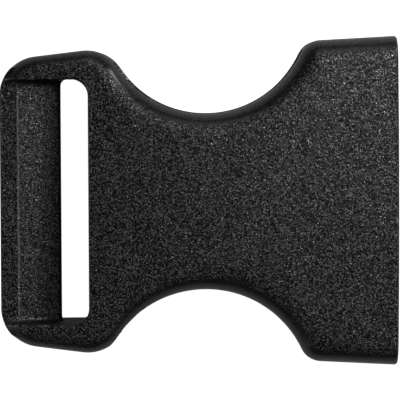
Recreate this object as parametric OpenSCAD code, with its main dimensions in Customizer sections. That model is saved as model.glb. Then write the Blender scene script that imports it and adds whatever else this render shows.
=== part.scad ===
// Socket half of a side-release buckle, moulded in one piece for 25 mm webbing.
// Origin at the centre of the underside. X runs from the strap bar to the mouth, Y across, Z up.

/* [Overall] */
// Length from the end of the strap bar to the mouth
length = 42.4; // [42:0.1:45]
// Width across the mouth
mouth_w = 35.1; // [34.6:0.1:36]
// Thickness at the mouth
thick = 11; // [10.4:0.1:12]
// Thickness of the upper and lower shells
shell_t = 2.4; // [2.2:0.1:2.6]
// Radius of the rounded outer edges
edge_r = 2.2; // [1.6:0.1:2.2]

/* [Finger cut-outs] */
// Radius of the round cut-out in each side
cutout_r = 11.1; // [11:0.05:11.4]
// Half the width left between the two cut-outs
waist_half = 9.4; // [9.1:0.05:9.6]
// Distance of the cut-outs' centre in front of the middle
cutout_x = 0.8; // [0.6:0.1:1]

/* [Mouth] */
// Radius of the rounded shoulder between a cut-out and the mouth
shoulder_r = 2.5; // [2.4:0.1:2.8]
// Thickness of the latch post on each side of the mouth
post_t = 1.9; // [1.6:0.1:2.2]
// Length of the latch post, from its latch shoulder to the mouth
post_len = 9.8; // [9:0.1:10]
// Depth of the lead-in bevel on the inner edge of each latch post
lead_in = 0.7; // [0.4:0.1:0.9]

/* [Strap end] */
// Clear width between the rails, for the webbing
slot_w = 26.1; // [26:0.1:26.6]
// Length of the slot that the webbing passes through
slot_gap = 3.1; // [2.6:0.05:3.2]
// Width of the strap bar
bar_w = 6.4; // [6:0.1:6.6]
// Thickness of the strap bar at its ridge
bar_t = 4.6; // [4.4:0.1:5]
// Width of the flat strip behind the bar's ridge
bar_flat = 1.7; // [1.4:0.1:2]
// Radius of the bar's curved faces, which fall towards the slot
bar_crown_r = 16; // [14:0.5:20]
// Radius of the outer corners at the strap end
corner_r = 4.2; // [4:0.1:4.4]
// Radius of the ears between the rails and the cut-outs
ear_r = 4.2; // [4:0.1:4.3]
// Radius in the slot's two corners next to the socket
slot_corner_r = 1.2; // [0.6:0.1:1.6]

/* [Inside] */
// Thickness of the wall between the slot and the socket
bulkhead_t = 2.45; // [2.4:0.05:2.8]
// Clear width of the channel that guides the centre prong
channel_w = 6; // [5:0.5:7]
// Width of each guide rib
rib_w = 1.2; // [0.8:0.1:1.5]
// Height of each guide rib
rib_h = 0.6; // [0.4:0.1:0.8]
// Distance from the mouth to the front of the ribs
rib_setback = 6; // [4:0.5:9]

/* [Hidden] */
$fn = 96;

over = 1;                           // cutters run this far past the faces they cut
mid_z = thick / 2;
end_x = -length / 2;
mouth_x = length / 2;
mouth_y = mouth_w / 2;
rail_y = slot_w / 2;
slot_x0 = end_x + bar_w;            // edge of the slot on the strap bar
slot_x1 = slot_x0 + slot_gap;       // edge of the slot on the bulkhead
socket_x = slot_x1 + bulkhead_t;    // closed end of the socket
post_x = mouth_x - post_len;        // latch shoulder
cutout_c = [cutout_x, waist_half + cutout_r];

// The upper face falls towards the strap end on a large arc, and the lower face rises on another.
upper_fall_x = 6;
upper_fall_r = 160;
lower_rise_x = -6;
lower_rise_r = 150;

// Centres of the corner, ear and shoulder circles on the +Y side. The last two touch the cut-out,
// in these directions from its centre.
ear_turn = 214;
shoulder_turn = -25.6;
corner_c = [end_x + corner_r, 11.35];
ear_c = cutout_c + (cutout_r + ear_r) * [cos(ear_turn), sin(ear_turn)];
shoulder_c = cutout_c + (cutout_r + shoulder_r) * [cos(shoulder_turn), sin(shoulder_turn)];

plastic = [0.05, 0.05, 0.055];

// Points of an arc, in steps of about 7 degrees.
function arc(c, r, from, to) =
    let (steps = ceil(abs(to - from) / 7))
    [for (i = [0:steps]) let (turn = from + (to - from) * i / steps) c + r * [cos(turn), sin(turn)]];

// Direction, from their centres, in which the straight edge above circles a and b touches both.
function edge_turn(a, ra, b, rb) =
    let (d = b - a) atan2(d.y, d.x) + acos((ra - rb) / norm(d));

// The +Y half of the outline seen from above, from the mouth to the strap end, moved in by inset.
function half_outline(inset) =
    let (rail_turn = edge_turn(corner_c, corner_r, ear_c, ear_r))
    concat(
        [[mouth_x, mouth_y - inset]],
        arc(shoulder_c, shoulder_r - inset, 92, 180 + shoulder_turn),
        arc(cutout_c, cutout_r + inset, 355 + shoulder_turn, ear_turn + 5),
        arc(ear_c, ear_r - inset, ear_turn - 180, rail_turn),
        arc(corner_c, corner_r - inset, rail_turn, 180)
    );

// The whole outline, once round.
function outline(inset) =
    let (half = half_outline(inset), last = len(half) - 1)
    concat(half, [for (i = [last:-1:0]) [half[i].x, -half[i].y]]);

// Heights of the two faces: the upper one falls and the lower one rises towards the strap end.
function arc_rise(x, start, r) = x > start ? 0 : r - sqrt(r * r - (start - x) * (start - x));
function upper_z(x) = thick - arc_rise(x, upper_fall_x, upper_fall_r);
function lower_z(x) = arc_rise(x, lower_rise_x, lower_rise_r);

// The outside of the whole moulding, with nothing hollowed out. Each ring of points follows the
// outline. The rings climb round the lower edge, up the side, and round the upper edge.
module envelope() {
    edge_turns = [for (turn = [0:22.5:90]) turn];
    lower = [for (i = [len(edge_turns) - 1:-1:0]) edge_turns[i]];
    rings = concat(
        [for (turn = lower) [for (p = outline(edge_r * (1 - cos(turn))))
            [p.x, p.y, lower_z(p.x) + edge_r * (1 - sin(turn))]]],
        [for (turn = edge_turns) [for (p = outline(edge_r * (1 - cos(turn))))
            [p.x, p.y, upper_z(p.x) - edge_r * (1 - sin(turn))]]]
    );
    count = len(rings[0]);
    top = (len(rings) - 1) * count;
    polyhedron(
        points = [for (ring = rings) each ring],
        faces = concat(
            [for (k = [0:len(rings) - 2], i = [0:count - 1])
                let (j = (i + 1) % count, a = k * count, b = a + count)
                each [[a + i, b + i, b + j], [a + i, b + j, a + j]]],
            [for (i = [0:count / 2 - 2]) [i, i + 1, count - 2 - i, count - 1 - i]],
            [for (i = [0:count / 2 - 2]) [top + i, top + count - 1 - i, top + count - 2 - i, top + i + 1]]
        )
    );
}

// The part of the envelope between two corners.
module region(low, high) {
    intersection() {
        envelope();
        translate(low) cube(high - low);
    }
}

// Bar that the webbing is sewn round: a flat strip, a ridge, and faces that fall to the slot.
module strap_bar() {
    ridge_x = end_x + bar_flat;
    crown_tilt = 12;
    crown_c = [ridge_x - bar_crown_r * sin(crown_tilt), bar_t / 2 - bar_crown_r * cos(crown_tilt)];
    color(plastic)
    intersection() {
        linear_extrude(thick) polygon(outline(0));
        translate([0, rail_y, mid_z]) rotate([90, 0, 0]) linear_extrude(slot_w)
            intersection() {
                translate([end_x, -bar_t / 2]) square([bar_w, bar_t]);
                for (side = [-1, 1])
                    union() {
                        translate([end_x - over, -bar_t]) square([bar_flat + over, 2 * bar_t]);
                        scale([1, side]) translate(crown_c) circle(bar_crown_r, $fn = 192);
                    }
            }
    }
}

// Rail on the +Y side, which joins the strap bar to the socket, with its rounded slot corner.
module rail() {
    region([end_x - over, rail_y, -over], [slot_x1, mouth_y, thick + over]);
    corner_x = slot_x1 - slot_corner_r;
    corner_y = rail_y - slot_corner_r;
    intersection() {
        envelope();
        difference() {
            translate([corner_x, corner_y, 0]) cube([slot_corner_r, slot_corner_r, thick]);
            translate([corner_x, corner_y, -over]) cylinder(h = thick + 2 * over, r = slot_corner_r);
        }
    }
}

module left_rail() {
    color(plastic) rail();
}

module right_rail() {
    color(plastic) mirror([0, 1, 0]) rail();
}

// Wall between the slot and the socket.
module rear_bulkhead() {
    color(plastic)
    region([slot_x1, -rail_y, shell_t], [socket_x, rail_y, thick - shell_t]);
}

// Solid ear behind the +Y cut-out, between the shells.
module ear() {
    region([slot_x1, rail_y, shell_t], [socket_x, mouth_y, thick - shell_t]);
}

module left_ear() {
    color(plastic) ear();
}

module right_ear() {
    color(plastic) mirror([0, 1, 0]) ear();
}

// Face of the buckle.
module upper_shell() {
    color(plastic)
    region([slot_x1, -mouth_w, thick - shell_t], [mouth_x + over, mouth_w, thick + over]);
}

// Back of the buckle, which lies on the body or on a table.
module lower_shell() {
    color(plastic)
    region([slot_x1, -mouth_w, -over], [mouth_x + over, mouth_w, shell_t]);
}

// Side wall of the mouth on the +Y side. Its rear end is the shoulder that the latch arm catches.
module latch_post() {
    inner_y = mouth_y - post_t;
    difference() {
        region([post_x, inner_y, shell_t], [mouth_x + over, mouth_y + over, thick - shell_t]);
        translate([mouth_x, inner_y, mid_z]) rotate(45)
            cube([lead_in, lead_in, thick] * sqrt(2), center = true);
    }
}

module left_latch_post() {
    color(plastic) latch_post();
}

module right_latch_post() {
    color(plastic) mirror([0, 1, 0]) latch_post();
}

// Pair of ribs that guide the plug's centre prong, standing on a floor at height z.
module guide_ribs(z) {
    for (side = [-1, 1])
        translate([socket_x, side * (channel_w + rib_w) / 2 - rib_w / 2, z])
            cube([mouth_x - rib_setback - socket_x, rib_w, rib_h]);
}

module upper_guide_ribs() {
    color(plastic) guide_ribs(thick - shell_t - rib_h);
}

module lower_guide_ribs() {
    color(plastic) guide_ribs(shell_t);
}

strap_bar();
left_rail();
right_rail();
rear_bulkhead();
left_ear();
right_ear();
upper_shell();
lower_shell();
left_latch_post();
right_latch_post();
upper_guide_ribs();
lower_guide_ribs();
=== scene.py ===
import math

import bmesh
import bpy
import numpy as np
from mathutils import Matrix, Vector


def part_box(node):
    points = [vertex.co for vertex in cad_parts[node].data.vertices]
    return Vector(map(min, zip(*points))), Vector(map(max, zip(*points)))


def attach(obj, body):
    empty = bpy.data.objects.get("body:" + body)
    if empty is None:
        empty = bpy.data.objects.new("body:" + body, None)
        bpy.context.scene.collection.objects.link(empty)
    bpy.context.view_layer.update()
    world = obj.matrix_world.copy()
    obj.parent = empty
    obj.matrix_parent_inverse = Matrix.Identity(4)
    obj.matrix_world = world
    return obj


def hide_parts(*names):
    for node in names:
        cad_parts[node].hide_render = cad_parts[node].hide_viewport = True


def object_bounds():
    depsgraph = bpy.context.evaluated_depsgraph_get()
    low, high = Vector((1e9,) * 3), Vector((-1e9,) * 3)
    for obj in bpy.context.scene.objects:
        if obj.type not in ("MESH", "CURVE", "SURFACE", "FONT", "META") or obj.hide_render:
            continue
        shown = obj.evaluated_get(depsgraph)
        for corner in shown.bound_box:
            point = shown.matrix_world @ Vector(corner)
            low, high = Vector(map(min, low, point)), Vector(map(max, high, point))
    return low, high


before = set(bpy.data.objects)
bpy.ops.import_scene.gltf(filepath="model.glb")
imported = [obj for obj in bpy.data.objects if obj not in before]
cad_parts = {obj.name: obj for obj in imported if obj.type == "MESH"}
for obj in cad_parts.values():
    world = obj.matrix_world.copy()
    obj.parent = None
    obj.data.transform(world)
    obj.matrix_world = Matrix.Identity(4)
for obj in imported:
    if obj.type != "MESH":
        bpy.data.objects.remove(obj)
cad_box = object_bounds()

MM = 0.001


# ---------------------------------------------------------------- dimensions, in millimetres

def node_box(name):
    """Lowest and highest corner of a CAD node, in millimetres."""
    low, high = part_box(name)
    return np.array(low) / MM, np.array(high) / MM


LOW, HIGH = (np.array(corner) / MM for corner in cad_box)
BAR_LOW, BAR_HIGH = node_box("strap_bar")
WALL_LOW, WALL_HIGH = node_box("rear_bulkhead")
POST_LOW, _ = node_box("left_latch_post")
RIB_LOW, RIB_HIGH = node_box("upper_guide_ribs")

END_X, MOUTH_X = LOW[0], HIGH[0]
MOUTH_Y = HIGH[1]
THICK = HIGH[2]
MID_Z = THICK / 2
RAIL_Y = BAR_HIGH[1]
SLOT_X0, SLOT_X1 = BAR_HIGH[0], WALL_LOW[0]
SOCKET_X = WALL_HIGH[0]
POST_X, POST_Y = POST_LOW[0], POST_LOW[1]
SHELL_T = WALL_LOW[2]
BAR_T = BAR_HIGH[2] - BAR_LOW[2]
RIB_H = RIB_HIGH[2] - RIB_LOW[2]
RIB_END_X = RIB_HIGH[0]
RIB_OUT_Y = RIB_HIGH[1]
RIB_W = 1.2

# The same plan arcs and face arcs as in the CAD.
CUTOUT_R, CUTOUT_X, WAIST_HALF = 11.1, 0.8, 9.4
SHOULDER_R, SHOULDER_TURN = 2.5, -25.6
EAR_R, EAR_TURN = 4.2, 214.0
CORNER_R, CORNER_Y = 4.2, 11.35
UPPER_FALL_X, UPPER_FALL_R = 6.0, 160.0
LOWER_RISE_X, LOWER_RISE_R = -6.0, 150.0
EDGE_R_STRAP, EDGE_R_MOUTH = 1.9, 2.6   # rounded outer edges, which widen between these two places
EDGE_STRAP_X, EDGE_MOUTH_X = -15.0, -5.0

# Rounding that the CAD leaves out.
MOUTH_EDGE_R = 0.3      # outer edge of the mouth
INNER_EDGE_R = 0.25     # edges of the socket and the windows
SLOT_EDGE_R = 0.2       # edges of the rails beside the slot
SOCKET_CORNER_R = 0.6   # corners inside the socket
MOUTH_BULGE = 0.1       # how far the middle of the mouth's edge stands forward of its corners
SLOT_CORNER_LOW, SLOT_CORNER_HIGH = 0.95, 1.9   # the slot's corner radius at the back and at the face
BAR_FLAT = 1.85         # flat strip behind the bar's ridge
BAR_STEP, BAR_STEP_LEN = 0.08, 0.12     # small step down in front of the ridge
BAR_CROWN_R, BAR_TILT = 16.0, 12.0
BAR_NOSE_R = 0.25       # the bar's edges beside the slot
BAR_END_R = 0.15        # the bar's edges at the end of the buckle
BAR_FILLET = 0.7        # where the bar runs into the rails
LEAD_IN, LEAD_IN_LEN = 0.6, 1.3         # how far the mouth's inner walls flare, and over what length
RIB_FRONT_R = 0.8       # front ends of the guide ribs
RIB_FILLET = 0.25       # where the ribs run into the shells

PITCH = 0.2             # size of the mesh's faces

GRAIN_SCALE = 5500      # grains per metre
GRAIN_DEPTH = 0.00008   # metres
GRAIN_ROUGHNESS = (0.22, 0.32)
GRAIN_FADE = (0.8, 0.975)   # how level a face is, from bare of grain to fully grained
SPECK_SCALE = 8000      # cells per metre, some of which hold a pale speck of painted glint
SPECK_SHARE = 0.65
SPECK_EDGE = (0.25, 0.6)    # a speck fades out between these distances from its centre, in cells
SPECK_LEAST = 0.1       # share of the painted glint specks' strength that is left where there is no grain
BLACK = (0.005, 0.005, 0.0052)
# Colour of the painted glints: pale grey specks standing in for the highlights of single grains.
PAINTED_GLINT_GREY = (0.68, 0.68, 0.683)
SPECK_SHINE = 0.9       # Metallic of a full painted glint speck
PLASTIC_IOR = 1.48
HANDLING_SCALE = 200    # faint patches where the finish is a little more or less dull
HANDLING_CHANGE = 0.008
WALL_DULLNESS = 0.35    # extra roughness of the upright walls
# Lines where webbing rubs: a real polish, plus a paler, metallic colour there that is a painted
# highlight.
WORN_WIDTH = 0.15       # half the width of a worn line and its painted highlight, in millimetres
HIGHLIGHT_LINE_GREY = (0.55, 1.0)     # strength of the lines' painted highlight between the specks and on them
WORN_POLISH = 0.06
WORN_RIDGE_AHEAD = 0.08     # how far the ridge's worn line lies in front of the ridge
WORN_RAIL_OUT = 0.05        # how far the rails' worn lines lie outside the slot
WORN_PATCH_SCALE = 1500     # broken stretches of the rails' worn lines
WORN_BREAK_SCALE = 4500     # small breaks in every worn line


# ---------------------------------------------------------------- the shape, as signed distances

def round_and(a, b, r):
    """Inside both a and b, with the edge between them rounded."""
    return np.minimum(np.maximum(a, b), -r) + np.hypot(np.maximum(a + r, 0), np.maximum(b + r, 0))


def round_or(a, b, r):
    """Inside a or b, with a fillet where they meet."""
    return -round_and(-a, -b, r)


def arc(centre, r, start, stop, step=2.0):
    """Points of an arc, with angles in degrees."""
    turns = np.radians(np.linspace(start, stop, int(math.ceil(abs(stop - start) / step)) + 1))
    return np.stack([centre[0] + r * np.cos(turns), centre[1] + r * np.sin(turns)], 1)


def beside(centre, distance, turn):
    """The point at a distance from the centre, in the direction turn, in degrees."""
    return centre + distance * np.array([math.cos(math.radians(turn)), math.sin(math.radians(turn))])


def half_outline():
    """The +Y half of the outline from above, from well past the mouth to the strap end."""
    cutout = np.array([CUTOUT_X, WAIST_HALF + CUTOUT_R])
    shoulder = beside(cutout, CUTOUT_R + SHOULDER_R, SHOULDER_TURN)
    ear = beside(cutout, CUTOUT_R + EAR_R, EAR_TURN)
    corner = np.array([END_X + CORNER_R, CORNER_Y])
    gap = ear - corner
    rail_turn = math.degrees(math.atan2(gap[1], gap[0])
                             + math.acos((CORNER_R - EAR_R) / math.hypot(*gap)))
    top = arc(shoulder, SHOULDER_R, 92, 180 + SHOULDER_TURN)
    mouth = np.array([MOUTH_X, MOUTH_Y])
    past_mouth = mouth + (mouth - top[0]) * 0.8
    return np.concatenate([
        [past_mouth], top,
        arc(cutout, CUTOUT_R, 360 + SHOULDER_TURN, EAR_TURN)[1:],
        arc(ear, EAR_R, EAR_TURN - 180, rail_turn)[1:],
        arc(corner, CORNER_R, rail_turn, 180),
        [[END_X, -1.0]],
    ])


OUTLINE = half_outline()


def plan_distance(x, y):
    """Signed distance to the outline, in the plane, for arrays of points."""
    y = np.abs(y)
    best = np.full(x.shape, 1e9)
    for (ax, ay), (bx, by) in zip(OUTLINE[:-1], OUTLINE[1:]):
        dx, dy = bx - ax, by - ay
        t = np.clip(((x - ax) * dx + (y - ay) * dy) / (dx * dx + dy * dy), 0, 1)
        best = np.minimum(best, (x - ax - t * dx) ** 2 + (y - ay - t * dy) ** 2)
    edge_y = np.interp(x, OUTLINE[-2::-1, 0], OUTLINE[-2::-1, 1])
    inside = (y < edge_y) & (x > END_X)
    return np.where(inside, -1, 1) * np.sqrt(best)


def face_arc(x, start, r):
    """How far a face has left its flat height at x."""
    run = np.maximum(start - x, 0)
    return r - np.sqrt(r * r - run * run)


def bar_height(x):
    """Half the strap bar's thickness at x: a flat strip, a small step, and a face falling to the slot."""
    ridge_x = END_X + BAR_FLAT
    tilt = math.radians(BAR_TILT)
    crown_x = ridge_x - BAR_CROWN_R * math.sin(tilt)
    crown_z = BAR_T / 2 - BAR_STEP - BAR_CROWN_R * math.cos(tilt)
    crown = crown_z + np.sqrt(np.maximum(BAR_CROWN_R ** 2 - (x - crown_x) ** 2, 0.01))
    blend = np.clip((x - ridge_x) / BAR_STEP_LEN, 0, 1)
    flat = BAR_T / 2
    return np.where(x < ridge_x, flat, flat + (crown - flat) * blend)


def moulding(x, y, z, plan):
    """Signed distance to the whole moulding; plan is the distance to its outline at x, y."""
    side = np.abs(y)
    faces = np.maximum(z - (THICK - face_arc(x, UPPER_FALL_X, UPPER_FALL_R)),
                       face_arc(x, LOWER_RISE_X, LOWER_RISE_R) - z)
    widen = np.clip((x - EDGE_STRAP_X) / (EDGE_MOUTH_X - EDGE_STRAP_X), 0, 1)
    edge_r = EDGE_R_STRAP + (EDGE_R_MOUTH - EDGE_R_STRAP) * widen * widen * (3 - 2 * widen)
    body = round_and(plan, faces, edge_r)
    body = round_and(body, x - MOUTH_X + MOUTH_BULGE * (y / MOUTH_Y) ** 2, MOUTH_EDGE_R)

    # The socket, its lead-in, and the windows between the latch posts and the ears.
    flare = LEAD_IN * np.clip((x - MOUTH_X + LEAD_IN_LEN) / LEAD_IN_LEN, 0, 1.5)
    between_shells = np.abs(z - MID_Z) - (MID_Z - SHELL_T + 0.4 * flare)
    across = round_or(side - POST_Y - flare, x - POST_X, INNER_EDGE_R)
    socket = round_and(round_and(across, SOCKET_X - x, SOCKET_CORNER_R), between_shells, SOCKET_CORNER_R)
    body = round_and(body, -socket, INNER_EDGE_R)

    # Ribs on both shells that guide the plug's centre prong.
    rib = round_and(np.abs(side - RIB_OUT_Y + RIB_W / 2) - RIB_W / 2,
                    (MID_Z - SHELL_T - RIB_H) - np.abs(z - MID_Z), INNER_EDGE_R)
    rib = round_and(rib, x - RIB_END_X, RIB_FRONT_R)
    rib = np.maximum(rib, np.maximum(SOCKET_X - 0.5 - x, np.abs(z - MID_Z) - MID_Z + SHELL_T - 0.2))
    body = round_or(body, rib, RIB_FILLET)

    # The gap between the rails, which the strap bar then crosses.
    up = np.clip(z / THICK, 0, 1)
    slot_corner_r = SLOT_CORNER_LOW + (SLOT_CORNER_HIGH - SLOT_CORNER_LOW) * up
    gap = round_and(x - SLOT_X1, side - RAIL_Y, slot_corner_r)
    body = round_and(body, -gap, SLOT_EDGE_R)
    bar = round_and(np.abs(z - MID_Z) - bar_height(x), x - SLOT_X0, BAR_NOSE_R)
    bar = round_and(bar, END_X - x, BAR_END_R)
    bar = np.maximum(bar, side - RAIL_Y - 1)
    return np.maximum(round_or(body, bar, BAR_FILLET), plan)


def distance(points):
    """Signed distance to the moulding for a list of points."""
    x, y, z = points.T
    return moulding(x, y, z, plan_distance(x, y))


def slope(points, h=0.02):
    """Gradient of the distance, from four evaluations."""
    corners = np.array([[1, -1, -1], [-1, -1, 1], [-1, 1, -1], [1, 1, 1]])
    return sum(k * distance(points + h * k)[:, None] for k in corners) / (4 * h)


# ---------------------------------------------------------------- meshing

def surface_net():
    """Quads on the moulding's surface: one vertex in each grid cell that the surface crosses.

    The middle plane runs through a layer of cells, and each vertex's layer is counted from there.
    """
    margin = 2.5 * PITCH
    axes = [np.arange(LOW[i] - margin, HIGH[i] + margin, PITCH) for i in range(2)]
    layers = int(math.ceil((MID_Z + margin) / PITCH))
    axes.append(MID_Z + PITCH * (np.arange(-layers, layers) + 0.5))
    gx, gy = np.meshgrid(axes[0], axes[1], indexing="ij")
    plan = plan_distance(gx, gy)
    x, y, z = axes[0][:, None, None], axes[1][None, :, None], axes[2][None, None, :]
    field = moulding(x, y, z, plan[:, :, None])
    inside = field < 0

    cells = tuple(n - 1 for n in field.shape)
    corner = [(i, j, k) for i in (0, 1) for j in (0, 1) for k in (0, 1)]
    total = sum(inside[i:i + cells[0], j:j + cells[1], k:k + cells[2]].astype(np.int8)
                for i, j, k in corner)
    active = np.argwhere((total > 0) & (total < 8))
    number = np.full(cells, -1, np.int32)
    number[tuple(active.T)] = np.arange(len(active))

    where = np.zeros((len(active), 3))
    hits = np.zeros(len(active))
    for a in corner:
        for axis in range(3):
            if a[axis]:
                continue
            b = tuple(1 if i == axis else v for i, v in enumerate(a))
            fa = field[tuple((active + a).T)]
            fb = field[tuple((active + b).T)]
            cross = (fa < 0) != (fb < 0)
            t = np.where(cross, fa / np.where(cross, fa - fb, 1), 0)
            where += np.where(cross[:, None], np.array(a) + t[:, None] * (np.array(b) - a), 0)
            hits += cross
    points = np.array([a[0] for a in axes]) + PITCH * (active + where / hits[:, None])

    quads = []
    for axis in range(3):
        u, v = [i for i in range(3) if i != axis]
        here = [slice(1, -1)] * 3
        here[axis] = slice(0, -1)
        there = list(here)
        there[axis] = slice(1, None)
        change = inside[tuple(here)] != inside[tuple(there)]
        at = np.argwhere(change) + [0 if i == axis else 1 for i in range(3)]
        solid_first = inside[tuple(at.T)]
        ring = []
        for du, dv in ((-1, -1), (0, -1), (0, 0), (-1, 0)):
            cell = at.copy()
            cell[:, u] += du
            cell[:, v] += dv
            ring.append(number[tuple(cell.T)])
        ring = np.stack(ring, 1)
        forward = solid_first if axis != 1 else ~solid_first
        ring[~forward] = ring[~forward][:, ::-1]
        quads.append(ring)
    return points, np.concatenate(quads), active[:, 2] - (layers - 1)


def relax(points, quads, middle, rounds=2):
    """Even out the vertices along the surface, then put each one exactly on it.

    Those marked as middle stay in the middle plane.
    """
    edges = np.unique(np.sort(np.concatenate([quads[:, [i, (i + 1) % 4]] for i in range(4)]), 1), axis=0)
    for step in range(rounds + 1):
        if step < rounds:
            total = np.zeros_like(points)
            count = np.zeros(len(points))
            for a, b in ((0, 1), (1, 0)):
                np.add.at(total, edges[:, a], points[edges[:, b]])
                np.add.at(count, edges[:, a], 1)
            points = points + 0.5 * (total / count[:, None] - points)
        points[middle, 2] = MID_Z
        for _ in range(2):
            g = slope(points)
            g[middle, 2] = 0
            size = np.maximum((g * g).sum(1), 0.05)
            points = points - np.clip(distance(points) / size, -PITCH, PITCH)[:, None] * g
    return points


def moulding_surface():
    """The whole moulding's points, quads, normals, and each point's layer from the middle plane."""
    points, quads, layer = surface_net()
    points = relax(points, quads, layer == 0)
    normals = slope(points)
    return points, quads, normals / np.linalg.norm(normals, axis=1)[:, None], layer


def half_moulding(name, side, surface):
    """The half above (side 1) or below (side -1) the middle plane, closed by a flat face there."""
    points, quads, normals, layer = surface
    above = (layer[quads] >= 0).all(1)
    own = quads[above if side > 0 else ~above]
    used, own = np.unique(own, return_inverse=True)
    own = own.reshape(-1, 4)
    mesh = bpy.data.meshes.new(name)
    mesh.from_pydata((points[used] * MM).tolist(), [], own.tolist())
    grown = bmesh.new()
    grown.from_mesh(mesh)
    rim = [edge for edge in grown.edges if edge.is_boundary]
    bmesh.ops.triangle_fill(grown, edges=rim, use_beauty=False, normal=(0, 0, -side))
    grown.to_mesh(mesh)
    grown.free()

    corner_point = np.zeros(len(mesh.loops), np.int32)
    mesh.loops.foreach_get("vertex_index", corner_point)
    corner_normals = normals[used][corner_point]
    corner_normals[4 * len(own):] = (0, 0, -side)
    mesh.polygons.foreach_set("use_smooth", np.ones(len(mesh.polygons), bool))
    mesh.normals_split_custom_set(corner_normals.tolist())
    piece = bpy.data.objects.new(name, mesh)
    bpy.context.scene.collection.objects.link(piece)
    return piece


# ---------------------------------------------------------------- materials

def noise(tree, place, scale, detail=1.0):
    """Noise in the object's own space, with so many grains to the metre."""
    node = tree.nodes.new("ShaderNodeTexNoise")
    node.inputs["Scale"].default_value = scale
    node.inputs["Detail"].default_value = detail
    tree.links.new(place.outputs["Object"], node.inputs["Vector"])
    return node.outputs["Fac"]


def painted_glint_specks(tree, place, scale, share):
    """Round specks of painted glint in a random share of small cells, each of its own brightness."""
    cells = tree.nodes.new("ShaderNodeTexVoronoi")
    cells.inputs["Scale"].default_value = scale
    tree.links.new(place.outputs["Object"], cells.inputs["Vector"])
    chance = tree.nodes.new("ShaderNodeSeparateColor")
    tree.links.new(cells.outputs["Color"], chance.inputs[0])
    lit = ramp(tree, chance.outputs["Red"], 1.0 - share, 1.0)
    return maths(tree, "MULTIPLY", lit, ramp(tree, cells.outputs["Distance"], *SPECK_EDGE, 1.0, 0.0))


def ramp(tree, value, start, stop, low=0.0, high=1.0, smooth=False):
    """The value, with start..stop carried to low..high and held there beyond both ends."""
    node = tree.nodes.new("ShaderNodeMapRange")
    node.interpolation_type = "SMOOTHSTEP" if smooth else "LINEAR"
    for name, number in (("From Min", start), ("From Max", stop), ("To Min", low), ("To Max", high)):
        node.inputs[name].default_value = number
    tree.links.new(value, node.inputs["Value"])
    return node.outputs["Result"]


def maths(tree, operation, *values):
    """A maths node on sockets or plain numbers."""
    node = tree.nodes.new("ShaderNodeMath")
    node.operation = operation
    for socket, value in zip(node.inputs, values):
        if isinstance(value, (int, float)):
            socket.default_value = value
        else:
            tree.links.new(value, socket)
    return node.outputs[0]


def wear_and_highlight_lines(tree, place, level):
    """Where webbing has rubbed, polished and painted pale as a painted highlight: the bar's ridge, and
    the rails' edges beside it.

    level is 1 on level faces and 0 on upright ones.
    """
    at = tree.nodes.new("ShaderNodeSeparateXYZ")
    tree.links.new(place.outputs["Object"], at.inputs[0])
    side = maths(tree, "ABSOLUTE", at.outputs["Y"])

    def line(value, centre):
        off = maths(tree, "ABSOLUTE", maths(tree, "SUBTRACT", value, centre * MM))
        return ramp(tree, off, 0.3 * WORN_WIDTH * MM, WORN_WIDTH * MM, 1.0, 0.0)

    def below(value, edge):
        return ramp(tree, value, (edge - 0.5) * MM, edge * MM, 1.0, 0.0)

    ridge = maths(tree, "MULTIPLY", line(at.outputs["X"], END_X + BAR_FLAT + WORN_RIDGE_AHEAD),
                  below(side, RAIL_Y - 0.6))
    rails = maths(tree, "MULTIPLY", line(side, RAIL_Y + WORN_RAIL_OUT),
                  below(at.outputs["X"], SLOT_X1 - 0.5))
    rails = maths(tree, "MULTIPLY", rails, ramp(tree, level, 0.3, 0.7))
    rails = maths(tree, "MULTIPLY", rails, ramp(tree, noise(tree, place, WORN_PATCH_SCALE), 0.5, 0.6))
    broken = ramp(tree, noise(tree, place, WORN_BREAK_SCALE), 0.4, 0.6, 0.2, 1.0)
    return maths(tree, "MULTIPLY", maths(tree, "MAXIMUM", ridge, rails), broken)


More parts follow.
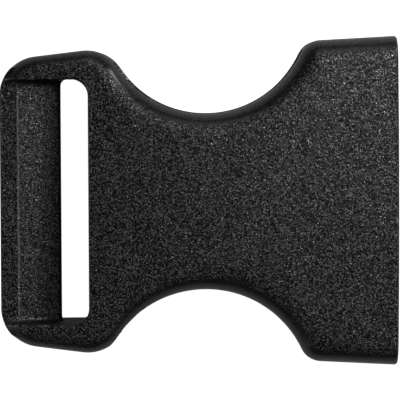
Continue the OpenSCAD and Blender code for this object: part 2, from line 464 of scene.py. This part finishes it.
def black_plastic():
    """Black plastic with a fine grain on the faces, which fades on the rounded edges.

    The pale, partly metallic specks are painted glints, standing in for the highlights of single grains.
    """
    mat = bpy.data.materials.new("black_plastic")
    mat.use_nodes = True
    tree = mat.node_tree
    shader = tree.nodes["Principled BSDF"]
    shader.inputs["IOR"].default_value = PLASTIC_IOR
    place = tree.nodes.new("ShaderNodeTexCoord")
    grain = noise(tree, place, GRAIN_SCALE)
    painted_glint_speck = painted_glint_specks(tree, place, SPECK_SCALE, SPECK_SHARE)
    handling = noise(tree, place, HANDLING_SCALE, 2.0)

    facing = tree.nodes.new("ShaderNodeSeparateXYZ")
    tree.links.new(place.outputs["Normal"], facing.inputs[0])
    level = maths(tree, "ABSOLUTE", facing.outputs["Z"])
    grained = ramp(tree, level, *GRAIN_FADE, smooth=True)
    wear_and_highlight = wear_and_highlight_lines(tree, place, level)

    bump = tree.nodes.new("ShaderNodeBump")
    bump.inputs["Distance"].default_value = GRAIN_DEPTH
    tree.links.new(grained, bump.inputs["Strength"])
    tree.links.new(grain, bump.inputs["Height"])
    tree.links.new(bump.outputs["Normal"], shader.inputs["Normal"])
    rough = maths(tree, "ADD", ramp(tree, grain, 0.3, 0.7, *GRAIN_ROUGHNESS),
                  ramp(tree, handling, 0.3, 0.7, -HANDLING_CHANGE, HANDLING_CHANGE))
    rough = maths(tree, "ADD", rough, ramp(tree, level, 0.05, 0.25, WALL_DULLNESS, 0.0))
    tree.links.new(maths(tree, "SUBTRACT", rough, maths(tree, "MULTIPLY", wear_and_highlight, WORN_POLISH)),
                   shader.inputs["Roughness"])

    colour = tree.nodes.new("ShaderNodeMix")
    colour.data_type = "RGBA"
    colour.inputs["A"].default_value = (*BLACK, 1)
    colour.inputs["B"].default_value = (*PAINTED_GLINT_GREY, 1)
    # Painted glints: pale, metallic specks that fade off the level faces.
    glint = maths(tree, "MULTIPLY", painted_glint_speck, ramp(tree, grained, 0, 1, SPECK_LEAST, 1.0))
    # Painted highlight along the rubbed lines: pale and metallic, strongest on the specks.
    painted_highlight_lines = maths(tree, "MULTIPLY", wear_and_highlight, ramp(tree, painted_glint_speck, 0, 1, *HIGHLIGHT_LINE_GREY))
    glint = maths(tree, "MAXIMUM", glint, painted_highlight_lines)
    tree.links.new(glint, colour.inputs["Factor"])
    tree.links.new(colour.outputs["Result"], shader.inputs["Base Color"])
    tree.links.new(maths(tree, "MULTIPLY", glint, SPECK_SHINE), shader.inputs["Metallic"])
    return mat


# ---------------------------------------------------------------- stage, light and camera

FLOOR_GLOW = 0.14           # light given out by the floor itself, apart from what the camera sees
WORLD_GLOW = 0.06
FLOOR_HALF = 1.0


def seen_white(tree, strength, glow):
    """A strength that is white to the camera, and only glow to the light that falls on the buckle."""
    path = tree.nodes.new("ShaderNodeLightPath")
    tree.links.new(ramp(tree, path.outputs["Is Camera Ray"], 0, 1, glow, 1.0), strength)


def stage():
    """A white floor and world."""
    scene = bpy.context.scene
    scene.view_settings.view_transform = "Standard"
    world = bpy.data.worlds.new("studio")
    scene.world = world
    world.use_nodes = True
    seen_white(world.node_tree, world.node_tree.nodes["Background"].inputs["Strength"], WORLD_GLOW)
    world.node_tree.nodes["Background"].inputs["Color"].default_value = (1, 1, 1, 1)

    mesh = bpy.data.meshes.new("floor")
    half = FLOOR_HALF
    corners = [(-half, -half, 0), (half, -half, 0), (half, half, 0), (-half, half, 0)]
    mesh.from_pydata(corners, [], [(0, 1, 2, 3)])
    floor = bpy.data.objects.new("floor", mesh)
    scene.collection.objects.link(floor)
    mat = bpy.data.materials.new("floor")
    mat.use_nodes = True
    shader = mat.node_tree.nodes["Principled BSDF"]
    shader.inputs["Base Color"].default_value = (0.8, 0.8, 0.8, 1)
    shader.inputs["Emission Color"].default_value = (1, 1, 1, 1)
    seen_white(mat.node_tree, shader.inputs["Emission Strength"], FLOOR_GLOW)
    mesh.materials.append(mat)


def softbox(name, place, size, power, colour=(1, 1, 1)):
    """A round lamp aimed at the origin, with its place and size in metres and its power in watts."""
    light = bpy.data.lights.new(name, "AREA")
    light.shape = "DISK"
    light.size = size
    light.energy = power
    light.color = colour
    obj = bpy.data.objects.new(name, light)
    obj.location = place
    obj.rotation_euler = (-Vector(place)).to_track_quat("-Z", "Y").to_euler()
    bpy.context.scene.collection.objects.link(obj)


CAMERA_FAR = 0.27           # from the middle of the buckle's thickness
CAMERA_OFF = (0.0, 0.0125)  # how far the camera stands to the side of the buckle's centre
CAMERA_AIM = (0.00014, 0.00003)
CAMERA_ROLL = -0.26         # degrees
FIELD_W = 0.04303           # width of the view at that distance


def camera():
    scene = bpy.context.scene
    lens = bpy.data.cameras.new("camera")
    lens.sensor_width = 36
    lens.lens = lens.sensor_width * CAMERA_FAR / FIELD_W
    obj = bpy.data.objects.new("camera", lens)
    aim = Vector((*CAMERA_AIM, MID_Z * MM))
    obj.location = Vector((*CAMERA_OFF, MID_Z * MM + CAMERA_FAR))
    back = (obj.location - aim).normalized()
    right = Vector((0, 1, 0)).cross(back).normalized()
    turn = Matrix((right, back.cross(right), back)).transposed()
    obj.rotation_euler = (turn @ Matrix.Rotation(math.radians(CAMERA_ROLL), 3, "Z")).to_euler()
    scene.collection.objects.link(obj)
    scene.camera = obj


camera()
stage()
softbox("key", (0.034, 0.036, 0.095), 0.02, 0.0128)
softbox("rim", (0.09, 0.075, 0.055), 0.04, 0.045)
softbox("fill", (0.0, 0.35, 0.22), 0.3, 0.14, (1.0, 0.93, 0.87))
softbox("side_strap", (-0.4, -0.1, 0.1), 0.3, 0.2)
softbox("side_mouth", (0.4, -0.15, 0.1), 0.3, 0.2)

surface = moulding_surface()
plastic = black_plastic()
lower_nodes = {"lower_shell", "lower_guide_ribs"}
upper_nodes = set(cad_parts) - lower_nodes
for name, side, nodes in (("upper_half", 1, upper_nodes), ("lower_half", -1, lower_nodes)):
    piece = half_moulding(name, side, surface)
    piece.data.materials.append(plastic)
    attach(piece, "root")
    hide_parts(*sorted(nodes))
